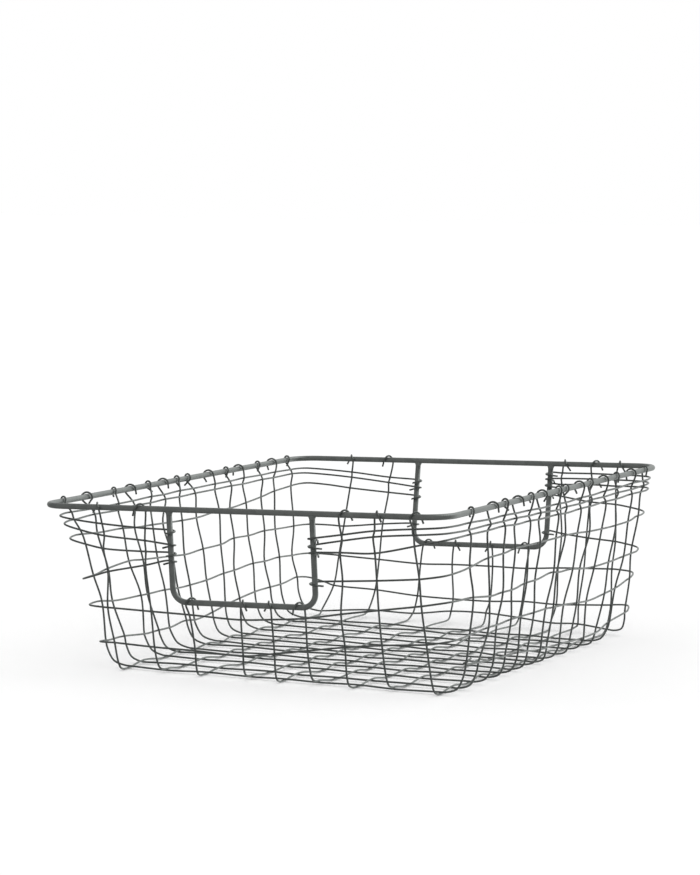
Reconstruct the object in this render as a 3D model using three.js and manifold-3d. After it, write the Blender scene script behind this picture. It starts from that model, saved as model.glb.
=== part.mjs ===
// Wire mesh basket: a rim of bent steel rod, a drop handle of the same rod welded under each end,
// and a mesh of thin galvanised wire, woven by hand and hooked over the rods.
// Millimetres, +Z up. The front is at -Y and the origin is on the floor, under the middle.

import * as THREE from 'three';
import { mergeVertices } from 'three/addons/utils/BufferGeometryUtils.js';
import Module from 'manifold-3d';

// Rim and handles, measured between the centre lines of the rod
const ROD_DIAMETER = 4;
const RIM_LENGTH = 400;
const RIM_WIDTH = 300;
const RIM_HEIGHT = 119;
const RIM_TILT = { across: 7, along: 6 }; // its right side and its back stand this much higher
const RIM_CORNER_RADIUS = 18;
const FRONT_HANDLE = { width: 106, shift: 2 }; // each handle sits a little right of the middle
const BACK_HANDLE = { width: 110, shift: 8 };
const HANDLE_DROP = 63;
const HANDLE_BEND_RADIUS = 10;
const HANDLE_LEAN = 8; // how far the bar stands in from the rim above it

// Mesh: the wire, and how far the foot of each wall stands in from the rim
const WIRE_DIAMETER = 1.2;
const END_INSET = 21;
const LEFT_INSET = { front: 38, back: 17 };
const RIGHT_INSET = { front: 0, back: 15 };
const LEFT_BOW = 0.6; // under 1, a wall leans most below the rim, and over 1, most above the floor
const RIGHT_BOW = 1.1;
const FLOOR_MARGIN = 4; // from the foot of an end wall to the first cross wire on the floor
const FOOT_BEND = { front: 10, back: 18, left: 16, right: 11 }; // radius where a wall meets the floor
const ROW_BEND = 22;
const HOOK_TAIL = 3;
const HOOK_LEAD = 6; // a hook steps this far along the rod that it goes over
const WOUND_LEAD = 2.4; // and the wound end of a row this far along the leg of a handle
const HOOK_TURN = 0.67; // how far round the rod a hook goes, as a share of a turn
const LEG_TURN = 0.8;
const START_TURN = 0.55;
const ACROSS_WOBBLE = 1.5; // near the floor, hand-bent crossings stray this far along a wall
const LEVEL_WOBBLE = 0.8;
const FLOOR_WOBBLE = 1.5;
const LONG_WIRE_WEAVE = 0.8; // on the floor the long wires take this share of the weave
const TURN_WOBBLE = 0.08;
const CLEARANCE = 0.3;

// Facets of a rod, a wire, their bends and a wound end
const ROD_SIDES = 8;
const WIRE_SIDES = 5;
const ROD_BEND_STEPS = 3;
const WIRE_BEND_STEPS = 2;
const WRAP_STEPS = 5;
const WRAP_START = 0.3; // a wound end begins this share of a step before it is level with the rod
const BEND_ROOM = 0.9; // a bend takes up to this share of the straights next to it

// Finish: dull zinc, a little brighter on the drawn wire
const ROD_COLOR = 0x7d8482;
const ROD_ROUGHNESS = 0.5;
const WIRE_COLOR = 0x8a908d;
const WIRE_ROUGHNESS = 0.45;
const ZINC_METALNESS = 0.9;

// Uprights of the sides, bent by hand: shares of the run along the wall, from its middle, at the
// heights of the foot, the lower mesh, the upper mesh and the hook on the rim
const UPRIGHT_HEIGHTS = [0, 0.4, 0.75, 1];
const LEFT_UPRIGHTS = [
  [-0.94, -0.91, -0.92, -0.94],
  [-0.78, -0.8, -0.8, -0.76],
  [-0.59, -0.58, -0.61, -0.55],
  [-0.46, -0.5, -0.5, -0.42],
  [-0.35, -0.36, -0.36, -0.27],
  [-0.2, -0.23, -0.26, -0.15],
  [-0.11, -0.13, -0.1, -0.03],
  [0.05, 0.04, 0.04, 0.09],
  [0.18, 0.2, 0.24, 0.27],
  [0.34, 0.32, 0.35, 0.43],
  [0.51, 0.5, 0.49, 0.54],
  [0.67, 0.63, 0.65, 0.72],
  [0.79, 0.77, 0.76, 0.85],
  [0.96, 0.92, 0.96, 1],
];
const RIGHT_UPRIGHTS = [
  [-0.97, -0.83, -0.87, -0.88],
  [-0.83, -0.65, -0.71, -0.68],
  [-0.67, -0.56, -0.54, -0.56],
  [-0.51, -0.44, -0.44, -0.44],
  [-0.39, -0.32, -0.29, -0.31],
  [-0.25, -0.21, -0.19, -0.2],
  [-0.13, -0.04, 0, -0.03],
  [-0.02, 0.02, 0.08, 0.07],
  [0.09, 0.17, 0.24, 0.21],
  [0.25, 0.28, 0.36, 0.33],
  [0.4, 0.43, 0.52, 0.47],
  [0.56, 0.63, 0.65, 0.62],
  [0.68, 0.79, 0.82, 0.78],
  [0.96, 0.91, 0.91, 0.94],
];
// Uprights of the ends: hooks on the rim as shares of the run from handle to corner, hooks on the
// bar as shares of its straight half, and the feet as shares of the rim's straight half
const FRONT_UPRIGHTS = {
  left: [0.64, 0.24],
  bar: [-0.98, -0.09, 0.49, 1],
  right: [0.27, 0.57, 0.93],
  feet: [-0.75, -0.52, -0.3, -0.03, 0.15, 0.35, 0.55, 0.77, 1.02],
};
const BACK_UPRIGHTS = {
  left: [0.64, 0.27],
  bar: [-1, -0.49, 0.27, 0.89],
  right: [0.13, 0.49, 0.77],
  feet: [-0.86, -0.58, -0.3, -0.05, 0.17, 0.37, 0.58, 0.72, 0.91],
};

// Rows that end on the handles: shares of the handle's straight leg, down from the rim, at the
// front handle, between it and the corner, at five spots along the side from corner to corner,
// between the corner and the back handle, and at the back handle
const LEFT_ROWS = [
  [0.27, 0.22, 0.135, 0.15, 0.135, 0.135, 0.135, 0.2, 0.28],
  [0.44, 0.37, 0.23, 0.22, 0.205, 0.205, 0.205, 0.27, 0.37],
  [0.56, 0.54, 0.42, 0.47, 0.53, 0.48, 0.34, 0.43, 0.51],
  [0.65, 0.83, 0.98, 0.89, 0.98, 0.92, 0.95, 0.98, 0.9],
];
const RIGHT_ROWS = [
  [0.3, 0.18, 0.13, 0.15, 0.18, 0.16, 0.14, 0.13, 0.125],
  [0.39, 0.25, 0.205, 0.22, 0.25, 0.235, 0.215, 0.205, 0.205],
  [0.48, 0.46, 0.28, 0.29, 0.325, 0.31, 0.29, 0.285, 0.285],
  [0.86, 0.81, 0.73, 0.62, 0.62, 0.69, 0.63, 0.54, 0.43],
];
// The wire below the handles winds round the basket and climbs: shares of the bar's height at five
// spots along a side from front to back, or at seven along an end from left to right, the corners,
// the legs of the handle, the middle, and halfway between each leg and its corner
const SPIRAL = [
  { wall: 'right', levels: [0.37, 0.3, 0.21, 0.17, 0.38] },
  { wall: 'back', levels: [0.51, 0.38, 0.34, 0.28, 0.32, 0.33, 0.38] },
  { wall: 'left', levels: [0.39, 0.31, 0.33, 0.47, 0.51] },
  { wall: 'front', levels: [0.39, 0.41, 0.36, 0.33, 0.48, 0.58, 0.66] },
  { wall: 'right', levels: [0.66, 0.69, 0.69, 0.59, 0.76] },
  { wall: 'back', levels: [0.83, 0.8, 0.73, 0.73, 0.74, 0.78, 0.76] },
  { wall: 'left', levels: [0.9, 0.83, 0.78, 0.87, 0.83] },
  { wall: 'front', levels: [0.9, 0.89, 0.86, 0.8, 0.87, 1.02, 1.13] },
  { wall: 'right', levels: [1.13, 1.04, 1.11, 1, 1.05] },
];
// The last cross wire lies on the bend at the foot of the back wall: its heights at the same seven
// spots
const LAST_WIRE_HEIGHTS = [3, 4, 6, 9, 7, 4, 3];

const halfLength = RIM_LENGTH / 2;
const halfWidth = RIM_WIDTH / 2;
const rodRadius = ROD_DIAMETER / 2;
const wireRadius = WIRE_DIAMETER / 2;
const barHeight = RIM_HEIGHT - HANDLE_DROP;
const legLength = HANDLE_DROP - HANDLE_BEND_RADIUS;
// At a crossing each wire passes this far to its own side of the mesh
const weaveOffset = wireRadius + CLEARANCE / 2;
// The floor of the mesh is as high as it takes for the lowest wires to lie on the ground
const longWireOffset = 2 * weaveOffset * LONG_WIRE_WEAVE;
const crossWireOffset = 2 * weaveOffset - longWireOffset;
const floorHeight = wireRadius * Math.cos(Math.PI / WIRE_SIDES) + longWireOffset;

const UP = new THREE.Vector3(0, 0, 1);
const { clamp, lerp, seededRandom } = THREE.MathUtils;

seededRandom(11);

// A hand-made deviation between -1 and 1, the same in every run
function wobble() {
  return 2 * seededRandom() - 1;
}

// A wall's wires are held in line at the rim, and stray more the lower they are
function strayAt(height) {
  return Math.sqrt(1 - height / RIM_HEIGHT);
}

// The rim and the handles stand askew as one, and the mesh between the bars and the floor makes up
// for it
function tilted(station) {
  const floor = 2 * WIRE_DIAMETER;
  const share = clamp((station.z - floor) / (barHeight - ROD_DIAMETER - floor), 0, 1);
  const lift = (RIM_TILT.across * station.x) / RIM_WIDTH + (RIM_TILT.along * station.y) / RIM_LENGTH;
  return station.clone().setZ(station.z + share * lift);
}

// The height or level between the two places next to a spot
function levelAt(places, levels, spot) {
  const next = Math.max(1, places.findIndex((place, i) => spot <= place || i === places.length - 1));
  const share = (spot - places[next - 1]) / (places[next] - places[next - 1]);
  return lerp(levels[next - 1], levels[next], share);
}

// How far a wall has turned up from the floor at a height: a quarter turn above the bend at its foot
function turnAt(height, radius) {
  return Math.acos(clamp(1 - height / radius, 0, 1));
}

// A path for a rod: it steps from station to station, and keeps one side of the rod facing one way
class RodPath extends THREE.Curve {
  constructor(stations, facing) {
    super();
    this.stations = stations;
    this.facing = facing;
  }

  getPointAt(share) {
    return this.stations[Math.round(share * (this.stations.length - 1))].clone();
  }

  directionAt(i) {
    const last = this.stations.length - 1;
    const closed = this.stations[0].distanceTo(this.stations[last]) < CLEARANCE / 10;
    const before = i === 0 && closed ? last : i;
    const after = i === last && closed ? 0 : i;
    const direction = new THREE.Vector3();
    if (before > 0) {
      direction.add(this.stations[before].clone().sub(this.stations[before - 1]).normalize());
    }
    if (after < last) {
      direction.add(this.stations[after + 1].clone().sub(this.stations[after]).normalize());
    }
    return direction.normalize();
  }

  computeFrenetFrames() {
    const tangents = this.stations.map((_, i) => this.directionAt(i));
    const binormals = tangents.map((t) => this.facing.clone().projectOnPlane(t).normalize());
    const normals = tangents.map((t, i) => binormals[i].clone().cross(t));
    return { tangents, normals, binormals };
  }
}

// A rod or wire along its stations, with a flat side towards the ground where it lies level
function rodAlong(stations, diameter, sides, facing) {
  const corners = [];
  for (let i = 0; i < sides; i++) {
    const angle = Math.PI * (1 + (2 * i + 1) / sides);
    corners.push(new THREE.Vector2(Math.cos(angle), Math.sin(angle)).multiplyScalar(diameter / 2));
  }
  return new THREE.ExtrudeGeometry(new THREE.Shape(corners), {
    steps: stations.length - 1,
    extrudePath: new RodPath(stations.map(tilted), facing),
  });
}

// The stations of a bend that rounds the corner between two stations
function bend(before, corner, after, radius) {
  const back = before.clone().sub(corner);
  const on = after.clone().sub(corner);
  const reach = radius / Math.tan(back.angleTo(on) / 2);
  const room = BEND_ROOM * Math.min(back.length(), on.length());
  const start = corner.clone().addScaledVector(back.normalize(), Math.min(reach, room));
  const end = corner.clone().addScaledVector(on.normalize(), Math.min(reach, room));
  return new THREE.QuadraticBezierCurve3(start, corner, end).getPoints(WIRE_BEND_STEPS);
}

// A wire's end wound round a rod: it comes in along one direction, on one side of the rod, goes
// round by a share of a turn while it steps along the rod, and ends in a short tail
function wrap({ centre, core, side, along, lead, turn }) {
  const step = (2 * Math.PI * turn) / WRAP_STEPS;
  const radius = (core + wireRadius + CLEARANCE) / Math.cos(step / 2);
  const stations = [];
  for (let i = 0; i <= WRAP_STEPS; i++) {
    const angle = step * (i - WRAP_START);
    const station = centre.clone().addScaledVector(side, radius * Math.cos(angle));
    station.addScaledVector(along, radius * Math.sin(angle));
    stations.push(station.addScaledVector(lead, i / WRAP_STEPS));
  }
  const tail = stations[WRAP_STEPS].clone().sub(stations[WRAP_STEPS - 1]).setLength(HOOK_TAIL);
  stations.push(stations[WRAP_STEPS].clone().add(tail));
  return stations;
}

// A long side of the basket: its wall leans in, more at one end than at the other
function sideWall(sign, inset, bow, bendRadius, uprights) {
  const hookReach = halfLength - RIM_CORNER_RADIUS;
  const floorReach = halfLength - END_INSET - FLOOR_MARGIN;
  const out = new THREE.Vector3(sign, 0, 0);
  return {
    out,
    bendRadius,
    lengthwise: new THREE.Vector3(0, 1, 0),
    phase: 1,
    spots: [-halfLength, -halfLength / 2, 0, halfLength / 2, halfLength],
    marks: uprights.map(() => []),
    strand(n, height) {
      const share = height / RIM_HEIGHT;
      return levelAt(UPRIGHT_HEIGHTS, uprights[n], share) * lerp(floorReach, hookReach, share);
    },
    point(across, height) {
      const foot = lerp(inset.front, inset.back, across / RIM_LENGTH + 0.5);
      const lean = Math.max(0, 1 - height / RIM_HEIGHT) ** bow;
      const rounding = bendRadius * (1 - Math.sin(turnAt(height, bendRadius)));
      return new THREE.Vector3(sign * (halfWidth - foot * lean - rounding), across, height);
    },
    rod(n) {
      return new THREE.Vector3(sign * halfWidth, this.strand(n, RIM_HEIGHT), RIM_HEIGHT);
    },
    // A hook leads towards the middle of the side, clear of the rim's corners
    leadSign: (n) => -Math.sign(uprights[n].at(-1)),
  };
}

// A short end: down to the handle's bar its wall lies in the plane of the handle, then leans more
function endWall(sign, { width, shift }, bendRadius, uprights) {
  const halfHandle = width / 2;
  const rimReach = halfWidth - RIM_CORNER_RADIUS;
  const shoulder = rimReach - halfHandle;
  const barReach = halfHandle - HANDLE_BEND_RADIUS;
  const left = uprights.left.map((share) => -halfHandle + shift - share * (shoulder + shift));
  const bar = uprights.bar.map((share) => shift + share * barReach);
  const right = uprights.right.map((share) => halfHandle + shift + share * (shoulder - shift));
  const hooks = [...left, ...bar, ...right];
  const leftLeg = shift - halfHandle;
  const rightLeg = shift + halfHandle;
  const between = [(leftLeg - halfWidth) / 2, (rightLeg + halfWidth) / 2];
  const onBar = (n) => n >= left.length && n < left.length + bar.length;
  const hookHeight = (n) => (onBar(n) ? barHeight : RIM_HEIGHT);
  const inset = (height) => levelAt([0, barHeight, RIM_HEIGHT], [END_INSET, HANDLE_LEAN, 0], height);
  return {
    out: new THREE.Vector3(0, sign, 0),
    bendRadius,
    lengthwise: new THREE.Vector3(1, 0, 0),
    phase: 0,
    legs: [leftLeg, rightLeg],
    spots: [-halfWidth, between[0], leftLeg, shift, rightLeg, between[1], halfWidth],
    marks: hooks.map(() => []),
    strand(n, height) {
      return lerp(uprights.feet[n] * rimReach, hooks[n], Math.min(1, height / hookHeight(n)));
    },
    point(across, height) {
      const rounding = bendRadius * (1 - Math.sin(turnAt(height, bendRadius)));
      return new THREE.Vector3(across, sign * (halfLength - inset(height) - rounding), height);
    },
    rod(n) {
      return this.point(hooks[n], hookHeight(n));
    },
    // A hook on the bar leads away from the handle's bends, and one on the rim away from its legs
    leadSign: (n) => (onBar(n) ? -1 : 1) * Math.sign(hooks[n] - shift),
  };
}

const walls = {
  front: endWall(-1, FRONT_HANDLE, FOOT_BEND.front, FRONT_UPRIGHTS),
  back: endWall(1, BACK_HANDLE, FOOT_BEND.back, BACK_UPRIGHTS),
  left: sideWall(-1, LEFT_INSET, LEFT_BOW, FOOT_BEND.left, LEFT_UPRIGHTS),
  right: sideWall(1, RIGHT_INSET, RIGHT_BOW, FOOT_BEND.right, RIGHT_UPRIGHTS),
};
const longWires = walls.front.marks.map((_, n) => n);
const crossWires = walls.left.marks.map((_, n) => n);
// The long wires on each side of the handles, from the handle out to the corner
const leftOfHandle = longWires.slice(0, FRONT_UPRIGHTS.left.length).reverse();
const rightOfHandle = longWires.slice(-FRONT_UPRIGHTS.right.length);

// One stretch of a row along a wall: marks its crossing with each upright wire, in order
function stretch(wallName, uprights, heights) {
  const wall = walls[wallName];
  const marks = uprights.map((n) => {
    const even = levelAt(wall.spots, heights, wall.strand(n, RIM_HEIGHT));
    const level = even + LEVEL_WOBBLE * strayAt(even) * wobble();
    const across = wall.strand(n, level) + ACROSS_WOBBLE * strayAt(level) * wobble();
    const turn = turnAt(level, wall.bendRadius);
    const normal = wall.out.clone().multiplyScalar(Math.sin(turn)).addScaledVector(UP, -Math.cos(turn));
    const mark = { wall, turn, normal, point: wall.point(across, level) };
    wall.marks[n].push(mark);
    return mark;
  });
  return { wall, heights, marks };
}

// A row from the front handle round one side to the back handle
function sideRow(side, shares) {
  const heights = shares.map((share) => RIM_HEIGHT - share * legLength);
  const along = heights.slice(2, -2);
  const onLeft = side === 'left';
  const outwards = onLeft ? leftOfHandle : rightOfHandle;
  // Past the handle's near leg an end needs levels only to fill its list
  const end = (corner, between, leg) => {
    const levels = [corner, between, leg, leg, leg, leg, leg];
    return onLeft ? levels : levels.reverse();
  };
  return [
    stretch('front', outwards, end(along[0], heights[1], heights[0])),
    stretch(side, crossWires, along),
    stretch('back', [...outwards].reverse(), end(along.at(-1), heights.at(-2), heights.at(-1))),
  ];
}

const leftRows = LEFT_ROWS.map((shares) => sideRow('left', shares));
const rightRows = RIGHT_ROWS.map((shares) => sideRow('right', shares));

// The spiral goes up the right side, along the back, down the left side and along the front
const spiral = SPIRAL.map(({ wall, levels }) => {
  const forwards = wall === 'right' || wall === 'front';
  const order = walls[wall].out.x ? [...crossWires] : [...longWires];
  const heights = levels.map((level) => level * barHeight);
  return stretch(wall, forwards ? order : order.reverse(), heights);
});
const spiralTop = barHeight + HANDLE_BEND_RADIUS + WOUND_LEAD;
const lastCorner = spiral.at(-1).heights.at(-1);
const lastHeights = [...Array(5).fill(spiralTop), (spiralTop + lastCorner) / 2, lastCorner];
spiral.push(stretch('back', [...rightOfHandle].reverse(), lastHeights));

const lastWire = stretch('back', longWires, LAST_WIRE_HEIGHTS);
const floorWires = crossWires.slice(0, -1);

// Up each upright the rows pass in turn inside and outside, and so do neighbouring uprights
for (const wall of Object.values(walls)) {
  wall.marks.forEach((marks, n) => {
    marks.sort((a, b) => a.point.z - b.point.z);
    marks.forEach((mark, m) => {
      mark.side = (n + m + wall.phase) % 2 ? 1 : -1;
    });
  });
}

// Where the upright and the row pass a crossing
function uprightStation({ normal, point, side }) {
  return point.clone().addScaledVector(normal, side * weaveOffset);
}

function rowStation({ normal, point, side }) {
  return point.clone().addScaledVector(normal, -side * weaveOffset);
}

// The axis of a handle's leg at a height
function legPoint(wall, sign, height) {
  const [leftLeg, rightLeg] = wall.legs;
  return wall.point(sign < 0 ? leftLeg : rightLeg, height);
}

// A row's end wound round the leg of a handle, next to the last upright that it crosses
function legWrap(wall, sign, height, mark) {
  return wrap({
    centre: legPoint(wall, sign, height),
    core: rodRadius,
    side: wall.out.clone().multiplyScalar(mark.side),
    along: new THREE.Vector3(-sign, 0, 0),
    lead: legPoint(wall, sign, barHeight).sub(legPoint(wall, sign, RIM_HEIGHT)).setLength(WOUND_LEAD),
    turn: LEG_TURN,
  });
}

// The stations of a row along its stretches, with a bend at each corner of the basket
function rowStations(stretches) {
  const stations = [];
  stretches.forEach(({ wall, heights, marks }, k) => {
    const path = marks.map(rowStation);
    if (k > 0) {
      const before = stretches[k - 1].wall;
      const [side, end] = wall.out.x ? [wall, before] : [before, wall];
      const atFirst = wall.out.x ? end.out.y < 0 : side.out.x < 0;
      const level = atFirst ? heights[0] : heights.at(-1);
      const corner = new THREE.Vector3(0, end.point(0, level).y, level);
      corner.x = side.point(corner.y, level).x;
      stations.push(...bend(stations.at(-1), corner, path[0], ROW_BEND));
    }
    stations.push(...path);
  });
  return stations;
}

function sideRowStations(stretches, sign) {
  const [front, , back] = stretches;
  const first = front.marks[0];
  const last = back.marks.at(-1);
  const legHeight = ({ heights }) => heights[(heights.length - 1) / 2];
  return [
    ...legWrap(front.wall, sign, legHeight(front), first).reverse(),
    ...rowStations(stretches),
    ...legWrap(back.wall, sign, legHeight(back), last),
  ];
}

function spiralStations() {
  const first = spiral[0].marks[0];
  const last = spiral.at(-1);
  const start = wrap({
    centre: uprightStation(first),
    core: wireRadius,
    side: first.wall.out.clone().multiplyScalar(-first.side),
    along: new THREE.Vector3(0, -1, 0),
    lead: UP.clone().multiplyScalar(WOUND_LEAD),
    turn: START_TURN,
  });
  const end = legWrap(last.wall, 1, spiralTop, last.marks.at(-1));
  return [...start.reverse(), ...rowStations(spiral).slice(1), ...end];
}

// How close two turns of a wound wire come, past its neighbouring stations
function leastGap(stations, neighbours) {
  const gaps = stations.map((station, i) => {
    const others = stations.slice(i + neighbours);
    return Math.min(...others.map((other) => station.distanceTo(other)));
  });
  return Math.min(...gaps) - WIRE_DIAMETER;
}

// The places on the floor where each long wire meets each cross wire
const floorPoints = longWires.map((long) =>
  floorWires.map((cross) => {
    const { front, back, left, right } = walls;
    const share = front.strand(long, 0) / RIM_WIDTH + 0.5;
    const y = lerp(left.strand(cross, 0), right.strand(cross, 0), share);
    const x = lerp(front.strand(long, 0), back.strand(long, 0), y / RIM_LENGTH + 0.5);
    return new THREE.Vector3(x + FLOOR_WOBBLE * wobble(), y + FLOOR_WOBBLE * wobble(), floorHeight);
  }),
);

// How a long wire or a cross wire passes a crossing on the floor: they take turns below
function floorStation(long, cross, isLong) {
  const below = (long + cross) % 2 ? !isLong : isLong;
  const offset = isLong ? longWireOffset : crossWireOffset;
  return floorPoints[long][cross].clone().addScaledVector(UP, below ? -offset : offset);
}

// One end of an upright from its hooked tail down to the bend at the foot of its wall
function uprightEnd(wall, n, floor) {
  const marks = [...wall.marks[n]].reverse();
  const hook = wrap({
    centre: wall.rod(n),
    core: rodRadius,
    side: wall.out.clone().multiplyScalar(marks[0].side),
    along: UP,
    lead: wall.lengthwise.clone().multiplyScalar(wall.leadSign(n) * HOOK_LEAD),
    turn: HOOK_TURN + TURN_WOBBLE * wobble(),
  });
  const path = [...hook.reverse(), ...marks.map(uprightStation)];
  const foot = wall.point(wall.strand(n, 0), 0).setZ(floor.z);
  foot.addScaledVector(wall.out, wall.bendRadius * Math.tan(marks.at(-1).turn / 2));
  return [...path, ...bend(path.at(-1), foot, floor, wall.bendRadius)];
}

function uprightStations(first, second, n, floor) {
  const start = uprightEnd(first, n, floor[0]);
  const end = uprightEnd(second, n, floor.at(-1));
  return [...start, ...floor, ...end.reverse()];
}

function longWire(n) {
  const floor = floorWires.map((cross) => floorStation(n, cross, true));
  const stations = uprightStations(walls.front, walls.back, n, floor);
  return rodAlong(stations, WIRE_DIAMETER, WIRE_SIDES, new THREE.Vector3(1, 0, 0));
}

// A cross wire's way along the floor or, for the last one, along the foot of the back wall
function crossPath(n) {
  if (n === floorWires.length) {
    return lastWire.marks.map(rowStation);
  }
  return longWires.map((long) => floorStation(long, n, false));
}

function crossWire(n) {
  const stations = uprightStations(walls.left, walls.right, n, crossPath(n));
  return rodAlong(stations, WIRE_DIAMETER, WIRE_SIDES, new THREE.Vector3(0, -1, 0));
}

// The rim is one closed ring, so only the faces along the rod are kept
function rimRing(diameter) {
  const x = halfWidth - RIM_CORNER_RADIUS;
  const y = halfLength - RIM_CORNER_RADIUS;
  const quarter = Math.PI / 2;
  const outline = new THREE.Path().moveTo(halfWidth, -y).lineTo(halfWidth, y);
  outline.absarc(x, y, RIM_CORNER_RADIUS, 0, quarter);
  outline.lineTo(-x, halfLength).absarc(-x, y, RIM_CORNER_RADIUS, quarter, 2 * quarter);
  outline.lineTo(-halfWidth, -y).absarc(-x, -y, RIM_CORNER_RADIUS, 2 * quarter, 3 * quarter);
  outline.lineTo(x, -halfLength).absarc(x, -y, RIM_CORNER_RADIUS, 3 * quarter, 4 * quarter);
  const stations = outline.getPoints(ROD_BEND_STEPS).map((p) => new THREE.Vector3(p.x, p.y, RIM_HEIGHT));
  const rod = rodAlong(stations, diameter, ROD_SIDES, UP);
  const { start, count } = rod.groups[1];
  const faces = rod.getAttribute('position').array.slice(3 * start, 3 * (start + count));
  return new THREE.BufferGeometry().setAttribute('position', new THREE.BufferAttribute(faces, 3));
}

const wasm = await Module();
wasm.setup();

function solidOf(geometry) {
  const bare = new THREE.BufferGeometry().setAttribute('position', geometry.getAttribute('position'));
  const merged = mergeVertices(bare);
  const vertProperties = merged.getAttribute('position').array;
  const triVerts = new Uint32Array(merged.index.array);
  return new wasm.Manifold(new wasm.Mesh({ numProp: 3, vertProperties, triVerts }));
}

function geometryOf(solid) {
  const mesh = solid.getMesh();
  const geometry = new THREE.BufferGeometry();
  geometry.setAttribute('position', new THREE.BufferAttribute(mesh.vertProperties, 3));
  geometry.setIndex(new THREE.BufferAttribute(mesh.triVerts, 1));
  return geometry;
}

// A handle hangs in the plane of its wall, and its ends are coped to fit under the rim
function handle(wall) {
  const [leftLeg, rightLeg] = wall.legs;
  const quarter = Math.PI / 2;
  const outline = new THREE.Path().moveTo(leftLeg, 0).lineTo(leftLeg, legLength);
  outline.absarc(leftLeg + HANDLE_BEND_RADIUS, legLength, HANDLE_BEND_RADIUS, 2 * quarter, quarter, true);
  outline.lineTo(rightLeg - HANDLE_BEND_RADIUS, HANDLE_DROP);
  outline.absarc(rightLeg - HANDLE_BEND_RADIUS, legLength, HANDLE_BEND_RADIUS, quarter, 0, true);
  outline.lineTo(rightLeg, 0);
  const stations = outline.getPoints(ROD_BEND_STEPS).map((p) => wall.point(p.x, RIM_HEIGHT - p.y));
  const rod = rodAlong(stations, ROD_DIAMETER, ROD_SIDES, wall.out);
  return geometryOf(solidOf(rod).subtract(solidOf(rimRing(ROD_DIAMETER + 2 * CLEARANCE))));
}

const basket = new THREE.Group();

function addPiece(name, geometry, color, roughness) {
  geometry.computeVertexNormals();
  const material = new THREE.MeshStandardMaterial({ color, roughness, metalness: ZINC_METALNESS });
  const mesh = new THREE.Mesh(geometry, material);
  mesh.name = name;
  basket.add(mesh);
}

function addRod(name, geometry) {
  addPiece(name, geometry, ROD_COLOR, ROD_ROUGHNESS);
}

function addWire(name, geometry) {
  addPiece(name, geometry, WIRE_COLOR, WIRE_ROUGHNESS);
}

function rowWire(stations) {
  return rodAlong(stations, WIRE_DIAMETER, WIRE_SIDES, UP);
}

addRod('rim', rimRing(ROD_DIAMETER));
addRod('front_handle', handle(walls.front));
addRod('back_handle', handle(walls.back));
longWires.forEach((n) => addWire(`long_wire_${n + 1}`, longWire(n)));
crossWires.forEach((n) => addWire(`cross_wire_${n + 1}`, crossWire(n)));
leftRows.forEach((row, n) => addWire(`left_row_${n + 1}`, rowWire(sideRowStations(row, -1))));
rightRows.forEach((row, n) => addWire(`right_row_${n + 1}`, rowWire(sideRowStations(row, 1))));
const spiralPath = spiralStations();
addWire('spiral_wire', rowWire(spiralPath));
const gap = leastGap(spiralPath, crossWires.length);
console.log(`Least gap between the turns of the spiral wire: ${gap.toFixed(1)} mm`);

export default basket;
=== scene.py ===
import math

import bmesh
import bpy
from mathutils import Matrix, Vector
from mathutils.geometry import interpolate_bezier


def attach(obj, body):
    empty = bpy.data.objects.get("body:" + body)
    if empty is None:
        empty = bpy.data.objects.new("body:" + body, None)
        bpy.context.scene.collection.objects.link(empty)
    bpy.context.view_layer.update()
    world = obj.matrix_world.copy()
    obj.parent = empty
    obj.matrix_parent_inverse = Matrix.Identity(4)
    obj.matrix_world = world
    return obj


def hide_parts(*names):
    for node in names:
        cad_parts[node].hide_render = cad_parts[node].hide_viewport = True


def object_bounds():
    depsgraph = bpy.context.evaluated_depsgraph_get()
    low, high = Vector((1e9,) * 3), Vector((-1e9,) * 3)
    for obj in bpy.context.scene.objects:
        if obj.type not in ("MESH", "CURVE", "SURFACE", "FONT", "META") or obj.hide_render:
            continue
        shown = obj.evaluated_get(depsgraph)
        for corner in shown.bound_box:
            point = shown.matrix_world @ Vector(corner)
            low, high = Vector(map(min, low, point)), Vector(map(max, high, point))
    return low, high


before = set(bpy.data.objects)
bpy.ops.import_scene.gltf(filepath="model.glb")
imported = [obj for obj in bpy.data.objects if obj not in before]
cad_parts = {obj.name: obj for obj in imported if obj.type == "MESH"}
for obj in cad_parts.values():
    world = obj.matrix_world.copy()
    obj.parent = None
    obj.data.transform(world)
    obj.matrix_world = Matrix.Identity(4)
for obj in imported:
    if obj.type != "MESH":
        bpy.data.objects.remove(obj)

cad_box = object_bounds()


# The rim is one length of 4 mm steel rod, bent to a rectangle with rounded corners and butt welded,
# then dipped in zinc. Its right side and its back stand a little higher than the rest.
rod_diameter, rod_sides = 0.004, 20
rim_width, rim_length, rim_height = 0.300, 0.400, 0.119
lift_across, lift_along = 0.007, 0.006
rim_corner, rim_corner_steps = 0.018, 12


def linear(hex_colour):
    """An sRGB hex colour as the linear RGBA that a shader socket takes."""
    shares = [int(hex_colour[i:i + 2], 16) / 255 for i in (1, 3, 5)]
    return [s / 12.92 if s <= 0.04045 else ((s + 0.055) / 1.055) ** 2.4 for s in shares] + [1]


def add_node(tree, kind, inputs, **settings):
    """Adds a node, sets its options, and sets or links its inputs."""
    node = tree.nodes.new(kind)
    for name, value in settings.items():
        setattr(node, name, value)
    for name, value in inputs.items():
        if isinstance(value, bpy.types.NodeSocket):
            tree.links.new(value, node.inputs[name])
        else:
            node.inputs[name].default_value = value
    return node


def lifted(point):
    """The rim and the handles stand a little askew, as one: up on the right and at the back."""
    lift = lift_across * point.x / rim_width + lift_along * point.y / rim_length
    return point + Vector((0, 0, lift))


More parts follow.
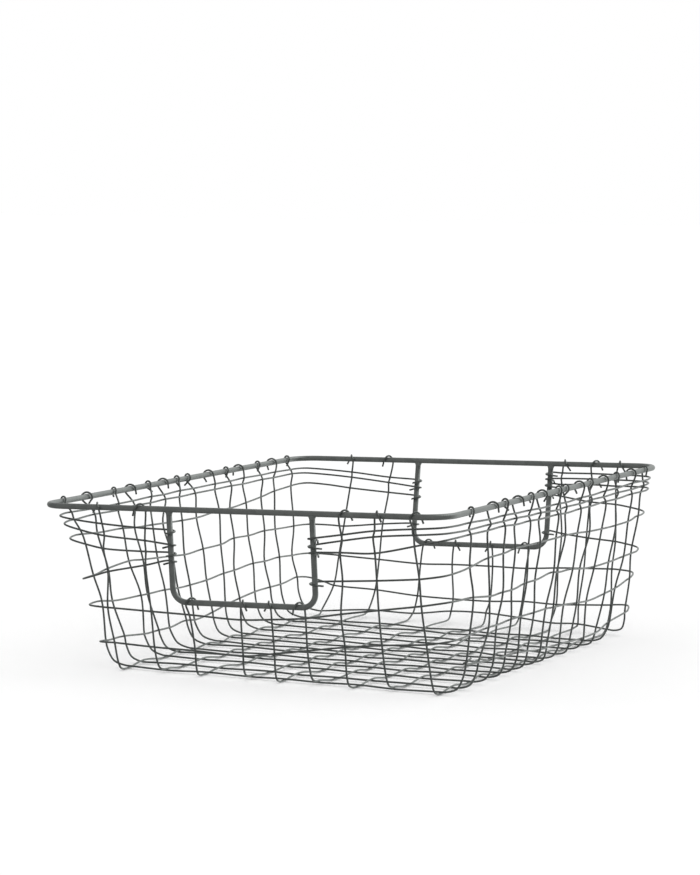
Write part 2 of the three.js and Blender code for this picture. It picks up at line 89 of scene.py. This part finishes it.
def arc(centre, first, second, from_angle, to_angle, steps):
    """Points on a bend, in the plane of two directions that are as long as its radius."""
    angles = [math.radians(from_angle + (to_angle - from_angle) * i / steps) for i in range(steps + 1)]
    return [centre + first * math.cos(a) + second * math.sin(a) for a in angles]


def skinned(name, stacks, closed=False):
    """A piece with a skin over each stack of rings of points, and flat ends unless it closes on itself."""
    skin = bmesh.new()
    for stack in stacks:
        rings = [[skin.verts.new(point) for point in ring] for ring in stack]
        for one, two in zip(rings, rings[1:] + rings[:1] if closed else rings[1:]):
            for k in range(len(one)):
                skin.faces.new((one[k], one[k - 1], two[k - 1], two[k])).smooth = True
        if not closed:
            skin.faces.new(rings[0])
            skin.faces.new(reversed(rings[-1]))
    bmesh.ops.recalc_face_normals(skin, faces=skin.faces)
    mesh = bpy.data.meshes.new(name)
    skin.to_mesh(mesh)
    skin.free()
    piece = bpy.data.objects.new(name, mesh)
    bpy.context.scene.collection.objects.link(piece)
    return piece


def round_bar(name, route, diameter, sides, closed=False):
    """A round bar along a route, with snipped flat ends unless it is a ring."""
    angles = [2 * math.pi * k / sides for k in range(sides)]
    rings = []
    # No bar starts in this direction, so it can be turned square to each of them.
    side = Vector((0.2, 0.1, 1))
    for i, point in enumerate(route):
        before = route[i - 1] if closed or i > 0 else point
        after = route[(i + 1) % len(route)] if closed or i + 1 < len(route) else point
        ahead = (after - before).normalized()
        side = (side - ahead * side.dot(ahead)).normalized()
        across = ahead.cross(side)
        spokes = [side * math.cos(a) + across * math.sin(a) for a in angles]
        rings.append([point + spoke * diameter / 2 for spoke in spokes])
    return skinned(name, [rings], closed)


rim_route = []
for corner, (right, back) in enumerate(((1, 1), (-1, 1), (-1, -1), (1, -1))):
    x, y = rim_width / 2 - rim_corner, rim_length / 2 - rim_corner
    centre = Vector((right * x, back * y, rim_height))
    along_x, along_y = Vector((rim_corner, 0, 0)), Vector((0, rim_corner, 0))
    rim_route += arc(centre, along_x, along_y, 90 * corner, 90 * corner + 90, rim_corner_steps)

# Hot-dip galvanised steel: dull cool grey zinc with faint crystal spangle, a few millimetres across,
# and a slightly uneven skin, so that it gleams softly along the rod and shows no sharp reflections.
spangle_width, skin_patch, grit_width = 0.005, 0.009, 0.0012
zinc_rod = bpy.data.materials.new("galvanised_rod")
zinc_rod.use_nodes = True
tree = zinc_rod.node_tree
zinc = tree.nodes["Principled BSDF"]
zinc.inputs["Metallic"].default_value = 1
place = add_node(tree, "ShaderNodeTexCoord", {}).outputs["Object"]
crystals = {"Vector": place, "Scale": 1 / spangle_width, "Randomness": 1}
spangle = add_node(tree, "ShaderNodeTexVoronoi", crystals)
skin = add_node(tree, "ShaderNodeTexNoise", {"Vector": place, "Scale": 1 / skin_patch, "Detail": 5})
both_patterns = {"Factor": 0.45, "A": spangle.outputs["Color"], "B": skin.outputs["Fac"]}
tone = add_node(tree, "ShaderNodeMix", both_patterns).outputs["Result"]
shade = add_node(tree, "ShaderNodeValToRGB", {"Fac": tone})
shade.color_ramp.elements[0].color = linear("#a4a9a7")
shade.color_ramp.elements[1].color = linear("#c2c7c4")
dull = add_node(tree, "ShaderNodeMapRange", {"Value": tone, "To Min": 0.4, "To Max": 0.52})
grit = add_node(tree, "ShaderNodeTexNoise", {"Vector": place, "Scale": 1 / grit_width, "Detail": 3})
grain = {"Height": grit.outputs["Fac"], "Strength": 0.12, "Distance": 0.0002}
uneven = add_node(tree, "ShaderNodeBump", grain)
tree.links.new(shade.outputs["Color"], zinc.inputs["Base Color"])
tree.links.new(dull.outputs["Result"], zinc.inputs["Roughness"])
tree.links.new(uneven.outputs["Normal"], zinc.inputs["Normal"])

rim = round_bar("rim_rod", [lifted(p) for p in rim_route], rod_diameter, rod_sides, closed=True)
rim.data.materials.append(zinc_rod)
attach(rim, "root")
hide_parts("rim")


# Each end has a handle of the same rod, bent to a U. Its ends butt against the underside of the rim,
# with a small weld fillet along the rim, and its bar hangs a little inside the rim.
handle_drop, handle_lean = 0.063, 0.008
handle_bend, handle_bend_steps = 0.010, 10
weld_start, weld_end = rod_diameter * 0.3, 0.0042
weld_reach, weld_steps = 0.0036, 6
weld_hollow = 2.2
weld_hold = rod_diameter * 0.505


def handle_point(end, middle, across, drop):
    """A place in the handle's leaning plane, so far across and so far below the rim."""
    y = end * (rim_length / 2 - handle_lean * drop / handle_drop)
    return lifted(Vector((middle + across, y, rim_height - drop)))


for name, end, half, middle in (("front_handle", -1, 0.053, 0.002), ("back_handle", 1, 0.055, 0.008)):
    elbow, low = half - handle_bend, handle_drop - handle_bend
    across, down = Vector((handle_bend, 0, 0)), Vector((0, handle_bend, 0))
    outline = [Vector((-half, 0, 0))]
    outline += arc(Vector((-elbow, low, 0)), across, down, 180, 90, handle_bend_steps)
    outline += arc(Vector((elbow, low, 0)), across, down, 90, 0, handle_bend_steps)
    outline += [Vector((half, 0, 0))]
    route = [handle_point(end, middle, p.x, p.y) for p in outline]
    handle = round_bar(name + "_rod", route, rod_diameter, rod_sides)
    handle.data.materials.append(zinc_rod)
    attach(handle, "root")
    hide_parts(name)

    # Each weld is widest along the rim and narrows in a hollow curve to the leg, which it just encloses.
    angles = [2 * math.pi * k / rod_sides for k in range(rod_sides)]
    fillets = []
    for leg in (-half, half):
        top = handle_point(end, middle, leg, weld_start)
        ahead = handle_point(end, middle, leg, weld_end) - top
        fillet = []
        for share in [step / weld_steps for step in range(weld_steps + 1)]:
            reach = weld_hold + (weld_reach - rod_diameter / 2) * (1 - share) ** weld_hollow
            spokes = [Vector((reach * math.cos(a), weld_hold * math.sin(a), 0)) for a in angles]
            fillet.append([top + ahead * share + spoke for spoke in spokes])
        fillets.append(fillet)
    welds = skinned(name + "_welds", fillets)
    welds.data.materials.append(zinc_rod)
    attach(welds, "root")


# The mesh is 1.2 mm wire, 1.35 mm with its zinc, woven by hand: the long and the cross wires run
# down one wall, over the floor and up the other, and hook over the rods. It springs in soft waves.
wire_diameter, wire_sides = 0.00135, 10
wave_step, least_wave_steps = 0.006, 4


def wire_route(node):
    """The middle line of a wire: the centres of the rings of corners along its bar."""
    bar = bmesh.new()
    bar.from_mesh(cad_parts[node].data)
    bmesh.ops.remove_doubles(bar, verts=bar.verts, dist=0.00001)
    bar.verts.ensure_lookup_table()

    def rings_from(first):
        rings, ring, seen = [], first, set(first)
        while ring:
            rings.append(ring)
            ring = list({edge.other_vert(v) for v in ring for edge in v.link_edges} - seen)
            seen.update(ring)
        return rings

    end = rings_from([bar.verts[0]])[-1]
    route = [sum((v.co for v in ring), Vector()) / len(ring) for ring in rings_from(end)]
    bar.free()
    return route


def springy(route):
    """A soft line through every crossing and hook, above the ground and within the basket's box.

    It bends in proportion to the roots of the stretches, so that a short one next to a long one
    makes no loop.
    """
    low, high = (Vector(corner) for corner in cad_box)
    margin = wire_diameter / 2
    line = []
    last = len(route) - 1
    for i in range(last):
        here, there = route[i], route[i + 1]
        before = route[i - 1] if i > 0 else here * 2 - there
        after = route[i + 2] if i + 1 < last else there * 2 - here
        lead, span = (here - before).length ** 0.5, (there - here).length ** 0.5
        follow = (after - there).length ** 0.5
        leave = there - here + span * ((here - before) / lead - (there - before) / (lead + span))
        arrive = there - here + span * ((after - there) / follow - (after - here) / (span + follow))
        steps = least_wave_steps + int((there - here).length / wave_step)
        line += interpolate_bezier(here, here + leave / 3, there - arrive / 3, there, steps)[:-1]
    line.append(route[last])
    return [Vector(min(max(p[i], low[i] + margin), high[i] - margin) for i in range(3)) for p in line]


# Drawn wire with the same zinc skin: a little darker and smoother than the rod, with marks of
# handling a few millimetres apart.
mark_spacing = 0.006
zinc_wire = bpy.data.materials.new("galvanised_wire")
zinc_wire.use_nodes = True
tree = zinc_wire.node_tree
zinc = tree.nodes["Principled BSDF"]
zinc.inputs["Metallic"].default_value = 1
place = add_node(tree, "ShaderNodeTexCoord", {}).outputs["Object"]
marks = {"Vector": place, "Scale": 1 / mark_spacing, "Detail": 4}
handled = add_node(tree, "ShaderNodeTexNoise", marks).outputs["Fac"]
shade = add_node(tree, "ShaderNodeValToRGB", {"Fac": handled})
shade.color_ramp.elements[0].position = 0.3
shade.color_ramp.elements[0].color = linear("#858a88")
shade.color_ramp.elements[1].position = 0.7
shade.color_ramp.elements[1].color = linear("#abb0ad")
dull = add_node(tree, "ShaderNodeMapRange", {"Value": handled, "To Min": 0.24, "To Max": 0.36})
tree.links.new(shade.outputs["Color"], zinc.inputs["Base Color"])
tree.links.new(dull.outputs["Result"], zinc.inputs["Roughness"])

wire_nodes = sorted(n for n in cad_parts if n.startswith(("long_wire", "cross_wire")))
for node in wire_nodes:
    wire = round_bar(node + "_round", springy(wire_route(node)), wire_diameter, wire_sides)
    wire.data.materials.append(zinc_wire)
    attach(wire, "root")
    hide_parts(node)


# The rows are lengths of the same wire, threaded level through the uprights. Eight run from handle to
# handle round one side, wound on the legs, and one long wire winds round the basket below them.
row_nodes = sorted(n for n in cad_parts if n.startswith(("left_row", "right_row", "spiral")))
for node in row_nodes:
    row = round_bar(node + "_round", springy(wire_route(node)), wire_diameter, wire_sides)
    row.data.materials.append(zinc_wire)
    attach(row, "root")
    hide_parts(node)


# The studio: a seamless white floor, a white surround that metal sees dimmed, and darkest everywhere
# but beyond the basket, and a soft lamp high up behind it on the right, with a faint shadow in front.
floor_reach, floor_drop = 30, 0.0001
floor_mesh = bpy.data.meshes.new("studio_floor")
corners = [(x * floor_reach, y * floor_reach, 0) for x, y in ((-1, -1), (1, -1), (1, 1), (-1, 1))]
floor_mesh.from_pydata(corners, [], [(0, 1, 2, 3)])
floor = bpy.data.objects.new("studio_floor", floor_mesh)
floor.location.z = -floor_drop
floor.visible_glossy = False
bpy.context.scene.collection.objects.link(floor)

# Matt white paper: it gives back all its light softly and shows no gloss.
white_paper = bpy.data.materials.new("white_paper")
white_paper.use_nodes = True
paper = white_paper.node_tree.nodes["Principled BSDF"]
paper.inputs["Base Color"].default_value = linear("#ffffff")
paper.inputs["Roughness"].default_value = 1
paper.inputs["Specular IOR Level"].default_value = 0
floor.data.materials.append(white_paper)

world = bpy.data.worlds.new("studio")
bpy.context.scene.world = world
world.use_nodes = True
tree = world.node_tree
tree.nodes.clear()
direction = add_node(tree, "ShaderNodeTexCoord", {}).outputs["Generated"]
parts = add_node(tree, "ShaderNodeSeparateXYZ", {"Vector": direction})
dimmed = {"Value": parts.outputs["Y"], "From Min": 0.3, "From Max": 0.85, "To Min": 0.17, "To Max": 0.7}
dim = add_node(tree, "ShaderNodeMapRange", dimmed, interpolation_type="SMOOTHSTEP").outputs["Result"]
path = add_node(tree, "ShaderNodeLightPath", {})
camera_ray = path.outputs["Is Camera Ray"]
mirrored = {0: path.outputs["Is Glossy Ray"], 1: path.outputs["Is Transmission Ray"]}
glossy = add_node(tree, "ShaderNodeMath", mirrored, operation="MAXIMUM")
shown = add_node(tree, "ShaderNodeMath", {0: glossy.outputs[0], 1: camera_ray}, operation="MAXIMUM")
seen = add_node(tree, "ShaderNodeMath", {0: dim, 1: camera_ray}, operation="MAXIMUM")
surround = add_node(tree, "ShaderNodeBackground", {"Color": linear("#ffffff"), "Strength": seen.outputs[0]})
fill = add_node(tree, "ShaderNodeBackground", {"Color": linear("#ffffff"), "Strength": 0.95})
lights = {0: shown.outputs[0], 1: fill.outputs[0], 2: surround.outputs[0]}
both_lights = add_node(tree, "ShaderNodeMixShader", lights)
add_node(tree, "ShaderNodeOutputWorld", {"Surface": both_lights.outputs[0]})

lamp = bpy.data.lights.new("soft_lamp", "SUN")
lamp.angle = math.radians(40)
lamp.energy = 0.3
lamp_object = bpy.data.objects.new("soft_lamp", lamp)
lamp_object.location = (0.9, 0.6, 1.5)
lamp_object.rotation_euler = (-lamp_object.location).to_track_quat("-Z", "Y").to_euler()
bpy.context.scene.collection.objects.link(lamp_object)


# The camera stands 2.4 m from the basket and a third of a metre above its ground, turned 25 degrees
# from its length and rolled by less than a degree. Its focal length is in pixels of the picture.
focal_length, picture_height = 3411.7, 875
sensor = 36
camera = bpy.data.cameras.new("camera")
camera.lens = focal_length / picture_height * sensor
camera.sensor_width = sensor
camera_object = bpy.data.objects.new("camera", camera)
camera_object.location = (1.01981, -2.20060, 0.32940)
camera_object.rotation_euler = (1.498099, -0.012414, 0.439321)
bpy.context.scene.collection.objects.link(camera_object)
bpy.context.scene.camera = camera_object
bpy.context.scene.view_settings.view_transform = "Standard"
